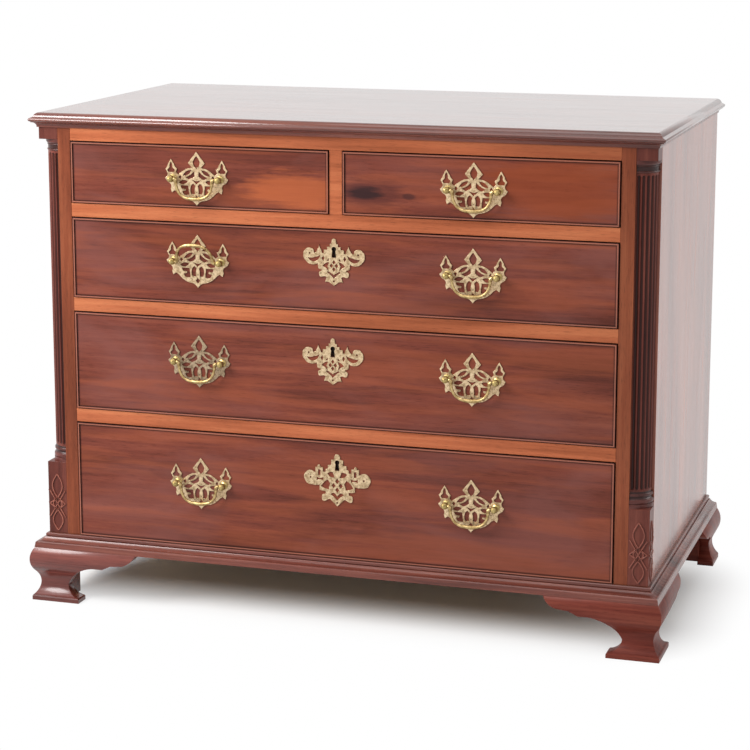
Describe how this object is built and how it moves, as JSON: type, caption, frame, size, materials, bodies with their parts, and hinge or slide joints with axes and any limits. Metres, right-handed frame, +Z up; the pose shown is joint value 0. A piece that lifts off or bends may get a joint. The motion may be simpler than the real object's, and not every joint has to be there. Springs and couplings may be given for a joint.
{
  "type": "chest of drawers",
  "caption": "Mahogany chest of drawers with short drawers over long ones, fluted quarter columns, pierced brass handles and ogee bracket feet.",
  "frame": {"origin": "on the floor, in the middle of the space that the whole chest takes up", "axes": "+X to the right of someone facing the drawers, -Y out of the front, +Z up"},
  "size_m": [1.1138, 0.6158, 0.854],
  "materials": {
    "polished_top": "French-polished mahogany, high gloss",
    "polished_side": "French-polished mahogany, gloss",
    "front_frame": "French-polished mahogany, orange brown",
    "drawer_front": "French-polished mahogany, red brown",
    "column_wood": "darkened mahogany, satin",
    "moulding_wood": "polished mahogany",
    "foot_wood": "polished mahogany",
    "secondary_wood": "unpolished oak and pine",
    "brass": "lacquered cast brass, lightly tarnished",
    "lock_iron": "dark wrought iron"
  },
  "bodies": {
    "carcase": {"top_board": "polished_top", "bed_moulding": "moulding_wood", "side_left": "polished_side", "side_right": "polished_side", "bottom_board": "secondary_wood", "back_boards": "secondary_wood", "stiles": "front_frame", "top_rail": "front_frame", "drawer_rails": "front_frame", "centre_divider": "front_frame", "dustboards": "secondary_wood", "drawer_guides": "secondary_wood", "column_shaft_left": "column_wood", "column_shaft_right": "column_wood", "column_capitals": "column_wood", "column_bases": "column_wood", "plinth_blocks": "column_wood", "frieze_blocks": "column_wood", "base_moulding": "moulding_wood", "foot_front_left": "foot_wood", "foot_front_right": "foot_wood", "foot_rear_left": "foot_wood", "foot_rear_right": "foot_wood"},
    "left_short_drawer": {"left_short_front": "drawer_front", "left_short_box": "secondary_wood", "left_short_bottom": "secondary_wood", "left_short_handles": "brass"},
    "left_short_bail": {"left_short_bail": "brass"},
    "right_short_drawer": {"right_short_front": "drawer_front", "right_short_box": "secondary_wood", "right_short_bottom": "secondary_wood", "right_short_handles": "brass"},
    "right_short_bail": {"right_short_bail": "brass"},
    "upper_long_drawer": {"upper_long_front": "drawer_front", "upper_long_box": "secondary_wood", "upper_long_bottom": "secondary_wood", "upper_long_handles": "brass", "upper_long_escutcheon": "brass", "upper_long_lock": "lock_iron"},
    "upper_long_left_bail": {"upper_long_left_bail": "brass"},
    "upper_long_right_bail": {"upper_long_right_bail": "brass"},
    "upper_long_lock_bolt": {"upper_long_lock_bolt": "lock_iron"},
    "middle_long_drawer": {"middle_long_front": "drawer_front", "middle_long_box": "secondary_wood", "middle_long_bottom": "secondary_wood", "middle_long_handles": "brass", "middle_long_escutcheon": "brass", "middle_long_lock": "lock_iron"},
    "middle_long_left_bail": {"middle_long_left_bail": "brass"},
    "middle_long_right_bail": {"middle_long_right_bail": "brass"},
    "middle_long_lock_bolt": {"middle_long_lock_bolt": "lock_iron"},
    "lower_long_drawer": {"lower_long_front": "drawer_front", "lower_long_box": "secondary_wood", "lower_long_bottom": "secondary_wood", "lower_long_handles": "brass", "lower_long_escutcheon": "brass", "lower_long_lock": "lock_iron"},
    "lower_long_left_bail": {"lower_long_left_bail": "brass"},
    "lower_long_right_bail": {"lower_long_right_bail": "brass"},
    "lower_long_lock_bolt": {"lower_long_lock_bolt": "lock_iron"}
  },
  "joints": [
    {"name": "left_short_drawer_slide", "type": "slide", "parent": "carcase", "child": "left_short_drawer", "axis": [0, -1, 0], "range_m": [0, 0.4]},
    {"name": "left_short_bail_swing", "type": "hinge", "parent": "left_short_drawer", "child": "left_short_bail", "pos_m": [-0.243, -0.294, 0.752], "axis": [-1, 0, 0], "range_deg": [-16, 196]},
    {"name": "right_short_drawer_slide", "type": "slide", "parent": "carcase", "child": "right_short_drawer", "axis": [0, -1, 0], "range_m": [0, 0.4]},
    {"name": "right_short_bail_swing", "type": "hinge", "parent": "right_short_drawer", "child": "right_short_bail", "pos_m": [0.233, -0.294, 0.752], "axis": [-1, 0, 0], "range_deg": [-16, 196]},
    {"name": "upper_long_drawer_slide", "type": "slide", "parent": "carcase", "child": "upper_long_drawer", "axis": [0, -1, 0], "range_m": [0, 0.4]},
    {"name": "upper_long_left_bail_swing", "type": "hinge", "parent": "upper_long_drawer", "child": "upper_long_left_bail", "pos_m": [-0.243, -0.294, 0.613], "axis": [-1, 0, 0], "range_deg": [-176, 36]},
    {"name": "upper_long_right_bail_swing", "type": "hinge", "parent": "upper_long_drawer", "child": "upper_long_right_bail", "pos_m": [0.233, -0.294, 0.613], "axis": [-1, 0, 0], "range_deg": [-16, 196]},
    {"name": "upper_long_lock_bolt_throw", "type": "slide", "parent": "upper_long_drawer", "child": "upper_long_lock_bolt", "axis": [0, 0, 1], "range_m": [0, 0.0075]},
    {"name": "middle_long_drawer_slide", "type": "slide", "parent": "carcase", "child": "middle_long_drawer", "axis": [0, -1, 0], "range_m": [0, 0.4]},
    {"name": "middle_long_left_bail_swing", "type": "hinge", "parent": "middle_long_drawer", "child": "middle_long_left_bail", "pos_m": [-0.243, -0.294, 0.4415], "axis": [-1, 0, 0], "range_deg": [-16, 196]},
    {"name": "middle_long_right_bail_swing", "type": "hinge", "parent": "middle_long_drawer", "child": "middle_long_right_bail", "pos_m": [0.233, -0.294, 0.4415], "axis": [-1, 0, 0], "range_deg": [-16, 196]},
    {"name": "middle_long_lock_bolt_throw", "type": "slide", "parent": "middle_long_drawer", "child": "middle_long_lock_bolt", "axis": [0, 0, 1], "range_m": [0, 0.0075]},
    {"name": "lower_long_drawer_slide", "type": "slide", "parent": "carcase", "child": "lower_long_drawer", "axis": [0, -1, 0], "range_m": [0, 0.4]},
    {"name": "lower_long_left_bail_swing", "type": "hinge", "parent": "lower_long_drawer", "child": "lower_long_left_bail", "pos_m": [-0.243, -0.294, 0.229], "axis": [-1, 0, 0], "range_deg": [-16, 196]},
    {"name": "lower_long_right_bail_swing", "type": "hinge", "parent": "lower_long_drawer", "child": "lower_long_right_bail", "pos_m": [0.233, -0.294, 0.229], "axis": [-1, 0, 0], "range_deg": [-16, 196]},
    {"name": "lower_long_lock_bolt_throw", "type": "slide", "parent": "lower_long_drawer", "child": "lower_long_lock_bolt", "axis": [0, 0, 1], "range_m": [0, 0.0075]}
  ]
}
